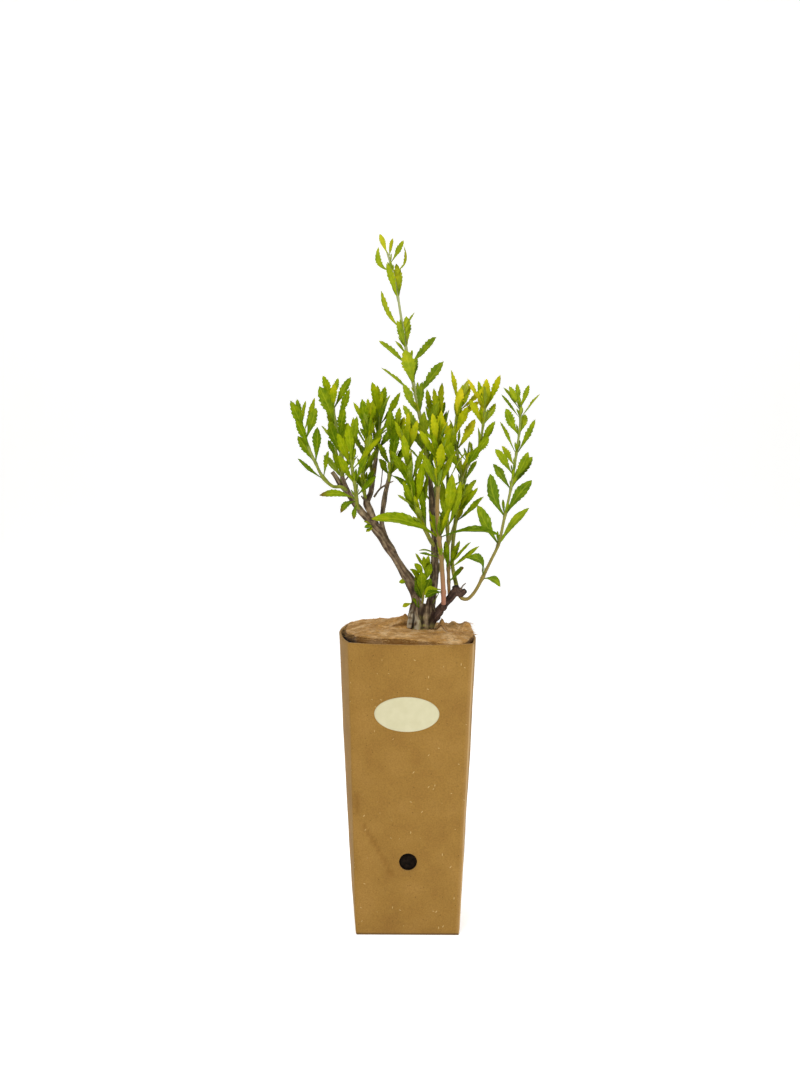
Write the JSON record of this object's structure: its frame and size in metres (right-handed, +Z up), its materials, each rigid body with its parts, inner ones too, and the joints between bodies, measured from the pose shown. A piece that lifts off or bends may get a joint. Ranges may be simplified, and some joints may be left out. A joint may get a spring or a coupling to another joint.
{
  "type": "potted russian sage",
  "caption": "Young leafy shrub with opposite toothed leaves on forked woody stems, in a tall tapered square fibre pot with a bare oval label and a fibre mulch mat.",
  "frame": {"origin": "under the middle of the pot's base, on the surface that the pot stands on", "axes": "+Z up along the pot, -Y towards the wall with the oval label, +X to the right seen from that side"},
  "size_m": [0.2097, 0.1132, 0.593],
  "materials": {
    "board": "matte",
    "label_paper": "satin",
    "potting_soil": "matte",
    "mulch_fibre": "matte",
    "bark": "matte",
    "dark_bark": "matte",
    "leaf": "satin"
  },
  "bodies": {
    "root": {"carton": "board", "label": "label_paper", "soil": "potting_soil", "fibre_mat": "mulch_fibre", "woody_crown": "bark", "dark_side_branch": "dark_bark", "leader_shoot": "leaf", "far_left_shoot": "leaf", "left_shoot": "leaf", "front_left_shoot": "leaf", "left_knob_shoot": "leaf", "left_inner_shoot": "leaf", "centre_left_shoot": "leaf", "centre_shoot": "leaf", "low_centre_shoot": "leaf", "front_shoot": "leaf", "thin_stem_shoot": "leaf", "right_forked_shoot": "leaf", "right_arching_shoot": "leaf", "basal_shoot": "leaf", "back_centre_shoot": "leaf", "back_left_shoot": "leaf", "back_far_left_shoot": "leaf", "back_right_shoot": "leaf"}
  },
  "joints": []
}
